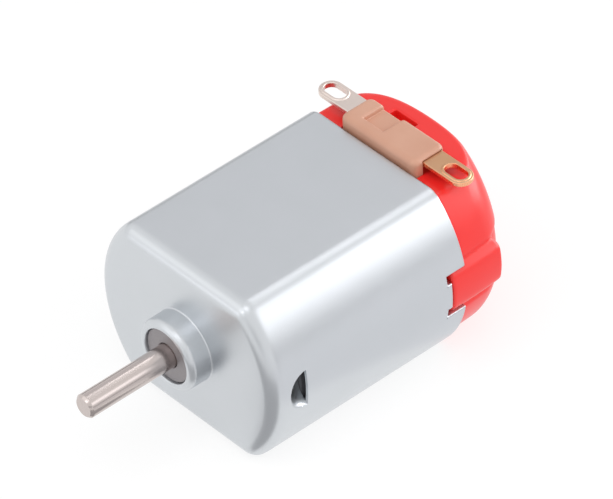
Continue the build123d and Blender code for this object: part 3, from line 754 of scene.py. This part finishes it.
def strip_distance(x, y, z):
    """A right-hand terminal: a strip with a raised eyelet, bent down into the end bell."""
    across = y - STRIP_MIDDLE
    tip_middle = STRIP_TIP - STRIP_HALF
    plan = np.where(x > tip_middle, np.hypot(x - tip_middle, across), np.abs(across)) - STRIP_HALF
    strip_floor = STRIP_TOP - STRIP_THICKNESS
    flat = overlap(strip_floor - z, z - STRIP_TOP, strip_low[0] - x)
    leg_sides = overlap(strip_low[0] - x, x - strip_low[0] - STRIP_THICKNESS)
    leg = overlap(leg_sides, z - STRIP_TOP, strip_low[2] - z)
    bent = round_or(flat, leg, STRIP_BEND)
    strip = round_and(bent, plan, STRIP_ROUND)
    eyelet_x = STRIP_TIP - EYELET_EDGE - EYELET_RADIUS - EYELET_STRAIGHT
    eyelet = np.hypot(np.maximum(np.abs(x - eyelet_x) - EYELET_STRAIGHT, 0), across) - EYELET_RADIUS
    rim = round_and(eyelet - EYELET_RIM, z - STRIP_TOP - RIM_HEIGHT, RIM_HEIGHT)
    strip = np.minimum(strip, overlap(rim, strip_floor - z))
    return round_and(strip, -eyelet, STRIP_ROUND)


strip_points, strip_faces = surface(strip_distance, strip_low, strip_high, STRIP_CELL)
for side, node, skin, edge in (
    (1, "terminal_right", dull_copper, sheared_copper),
    (-1, "terminal_left", tinned_copper, tinned_copper),
):
    mirrored = strip_points * (side, 1, 1)
    strip = piece(node + "_strip", mirrored, strip_faces, [skin, edge], "stator", node, MOULDED_CREASE)
    for polygon in strip.data.polygons:
        polygon.material_index = 0 if abs(polygon.normal.z) > STRIP_FACE else 1


# Shaft and bushes

shaft_end = [
    (SHAFT_RADIUS - SHAFT_CHAMFER, 0),
    (SHAFT_RADIUS - CHAMFER_BREAK, SHAFT_CHAMFER - CHAMFER_BREAK),
    (SHAFT_RADIUS, SHAFT_CHAMFER + CHAMFER_END),
    (SHAFT_RADIUS, SHAFT_CHAMFER + CHAMFER_GUARD),
]
shaft_body = [(r, shaft_low[1] + y) for r, y in shaft_end]
shaft_body += [(r, shaft_high[1] - y) for r, y in reversed(shaft_end)]
piece("shaft_rod", *lathe(shaft_body, False), [ground_steel], "rotor", "shaft")

for node, low, high in (
    ("front_bush", front_bush_low, front_bush_high),
    ("rear_bush", rear_bush_low, rear_bush_high),
):
    ring = [
        (BUSH_BORE, low[1] + BUSH_CHAMFER),
        (BUSH_BORE + BUSH_CHAMFER, low[1]),
        (high[0] - BUSH_CHAMFER, low[1]),
        (high[0], low[1] + BUSH_CHAMFER),
        (high[0], high[1] - BUSH_CHAMFER),
        (high[0] - BUSH_CHAMFER, high[1]),
        (BUSH_BORE + BUSH_CHAMFER, high[1]),
        (BUSH_BORE, high[1] - BUSH_CHAMFER),
    ]
    piece(node + "_ring", *lathe(ring, True), [sintered_bronze], "stator", node)


# Stage

MIDDLE = Vector((0, 8, 0)) * MM
FLOOR_HALF = 3000
FLOOR_DROP = 0.02
FLOOR_GREY = 0.25
FLOOR_ROUGHNESS = 0.9
FLOOR_GLOW = 0.78
SURROUND_LIGHT = 0.6
CARD_LIFT = 0.05
CARD_BLUE = 1.02
FAN_STEPS = 13


def toward(azimuth, elevation):
    """The direction from the object to a place on the stage, in the camera's angles."""
    turn = radians(azimuth)
    rise = radians(elevation)
    return Vector((sin(turn) * cos(rise), -cos(turn) * cos(rise), sin(rise)))


def facing(obj, azimuth, elevation, distance):
    """Put an object on the stage, turned to the object."""
    way = toward(azimuth, elevation)
    obj.location = MIDDLE + way * distance * MM
    obj.rotation_euler = way.to_track_quat("Z", "Y").to_euler()


def softbox(name, azimuth, elevation, distance, width, height, power):
    """A soft rectangular light that faces the object, with its power in watts."""
    light = bpy.data.lights.new(name, "AREA")
    light.shape = "RECTANGLE"
    light.size = width * MM
    light.size_y = height * MM
    light.energy = power
    obj = put(name, light)
    facing(obj, azimuth, elevation, distance)
    return obj


def reflector(name, outline, grey):
    """A flat shape of even brightness that only shows in reflections."""
    mesh = bpy.data.meshes.new(name)
    mesh.from_pydata([(x * MM, y * MM, 0) for x, y in outline], [], [list(range(len(outline)))])
    obj = put(name, mesh)
    material = bpy.data.materials.new(name)
    material.use_nodes = True
    tree = material.node_tree
    tree.nodes.remove(tree.nodes["Principled BSDF"])
    glow = tree.nodes.new("ShaderNodeEmission")
    glow.inputs["Color"].default_value = (grey, grey, grey * CARD_BLUE, 1)
    tree.links.new(glow.outputs["Emission"], tree.nodes["Material Output"].inputs["Surface"])
    mesh.materials.append(material)
    obj.visible_camera = False
    obj.visible_diffuse = False
    obj.visible_shadow = False
    obj.visible_transmission = False
    return obj


def card(name, azimuth, elevation, distance, width, height, grey):
    """A reflector that hangs round the object and faces it."""
    x, y = width / 2, height / 2
    obj = reflector(name, [(-x, -y), (x, -y), (x, y), (-x, y)], grey)
    facing(obj, azimuth, elevation, distance)
    return obj


def floor_card(name, azimuth, near, far, width, grey):
    """A reflector flat on the floor, between two distances from the object."""
    obj = card(name, azimuth, 0, (near + far) / 2, width, far - near, grey)
    obj.location.z = (can_low[2] + CARD_LIFT) * MM
    obj.rotation_euler = (0, 0, radians(azimuth))


def floor_fan(name, x, y, start, end, reach, grey):
    """A reflector on the floor that spreads from a point, between two azimuths."""
    rim = [toward(azimuth, 0) * reach for azimuth in np.linspace(start, end, FAN_STEPS)]
    obj = reflector(name, [(0, 0)] + [(way.x, way.y) for way in rim], grey)
    obj.location = Vector((x, y, can_low[2] + CARD_LIFT)) * MM


def floor():
    """A plain pale floor, a hair below the can's lower flat."""
    mesh = bpy.data.meshes.new("floor")
    half = FLOOR_HALF * MM
    z = (can_low[2] - FLOOR_DROP) * MM
    rim = [(-half, -half, z), (half, -half, z), (half, half, z), (-half, half, z)]
    mesh.from_pydata(rim, [], [[0, 1, 2, 3]])
    obj = put("floor", mesh)
    material = bpy.data.materials.new("floor")
    material.use_nodes = True
    shader = material.node_tree.nodes["Principled BSDF"]
    shader.inputs["Base Color"].default_value = (FLOOR_GREY, FLOOR_GREY, FLOOR_GREY, 1)
    shader.inputs["Roughness"].default_value = FLOOR_ROUGHNESS
    shader.inputs["Specular IOR Level"].default_value = 0
    shader.inputs["Emission Color"].default_value = (1, 1, 1, 1)
    shader.inputs["Emission Strength"].default_value = FLOOR_GLOW
    mesh.materials.append(material)


def studio():
    """Even white surroundings, brighter where they are seen or mirrored than where they light."""
    world = bpy.data.worlds.new("studio")
    bpy.context.scene.world = world
    world.use_nodes = True
    tree = world.node_tree
    lit = tree.nodes["Background"]
    lit.inputs["Color"].default_value = (1, 1, 1, 1)
    lit.inputs["Strength"].default_value = SURROUND_LIGHT
    seen = tree.nodes.new("ShaderNodeBackground")
    seen.inputs["Color"].default_value = (1, 1, 1, 1)
    seen.inputs["Strength"].default_value = 1
    path = tree.nodes.new("ShaderNodeLightPath")
    direct = path.outputs["Is Camera Ray"]
    for kind in ("Is Glossy Ray", "Is Transmission Ray"):
        either = tree.nodes.new("ShaderNodeMath")
        either.operation = "ADD"
        either.use_clamp = True
        tree.links.new(direct, either.inputs[0])
        tree.links.new(path.outputs[kind], either.inputs[1])
        direct = either.outputs[0]
    mix = tree.nodes.new("ShaderNodeMixShader")
    tree.links.new(direct, mix.inputs["Fac"])
    tree.links.new(lit.outputs["Background"], mix.inputs[1])
    tree.links.new(seen.outputs["Background"], mix.inputs[2])
    tree.links.new(mix.outputs["Shader"], tree.nodes["World Output"].inputs["Surface"])


floor()
studio()
# Softboxes and cards: azimuth, elevation, distance, width, height, and power or brightness
softbox("key", 20, 68, 220, 200, 200, 0.18).visible_glossy = False
softbox("side", 118, 35, 200, 190, 120, 0.08).visible_glossy = False
softbox("rear", 174, 5, 250, 260, 70, 0.17)
softbox("fill", 330, 35, 240, 160, 120, 0.02)
card("key_card", 20, 62, 200, 80, 80, 2)
card("streak_card", 126, 30.2, 200, 190, 66, 1.7)
card("edge_card", 192, 60, 200, 120, 12, 3.6)
card("tip_card", 0, 33, 200, 60, 40, 2.5)
card("horizon_card", 120, 0, 160, 200, 50, 0.6)
card("dome_card", 153, 14, 200, 130, 100, 6)
card("left_card", 243, 3, 160, 160, 60, 0.45)
floor_card("side_floor_card", 122, 13, 150, 160, 0.9)
floor_fan("front_floor_fan", 6.7, 0, -30, 75, 28, 0.5)
card("front_edge_card", 335, 5, 160, 60, 40, 1.7)
card("front_card", 30, 4, 160, 70, 40, 0.6)
card("top_card", 230, 41, 200, 200, 120, 0.8)


# Camera

CAMERA_AZIMUTH = 49.93
CAMERA_ELEVATION = 40.6
CAMERA_ROLL = -2.948
CAMERA_EYE = Vector((263.338, -209.223, 296.881)) * MM
CAMERA_LENS = 352.7
CAMERA_SENSOR = 36
CAMERA_NEAR = 10
CAMERA_FAR = 20000

camera = put("camera", bpy.data.cameras.new("camera"))
camera.data.lens = CAMERA_LENS
camera.data.sensor_width = CAMERA_SENSOR
camera.data.sensor_fit = "HORIZONTAL"
camera.data.clip_start = CAMERA_NEAR * MM
camera.data.clip_end = CAMERA_FAR * MM
back = toward(CAMERA_AZIMUTH, CAMERA_ELEVATION)
level = Vector((cos(radians(CAMERA_AZIMUTH)), sin(radians(CAMERA_AZIMUTH)), 0))
upright = back.cross(level)
roll = radians(CAMERA_ROLL)
right = cos(roll) * level + sin(roll) * upright
top = cos(roll) * upright - sin(roll) * level
turned = Matrix((right, top, back)).transposed().to_4x4()
camera.matrix_world = Matrix.Translation(CAMERA_EYE) @ turned
bpy.context.scene.camera = camera
bpy.context.scene.view_settings.view_transform = "Standard"
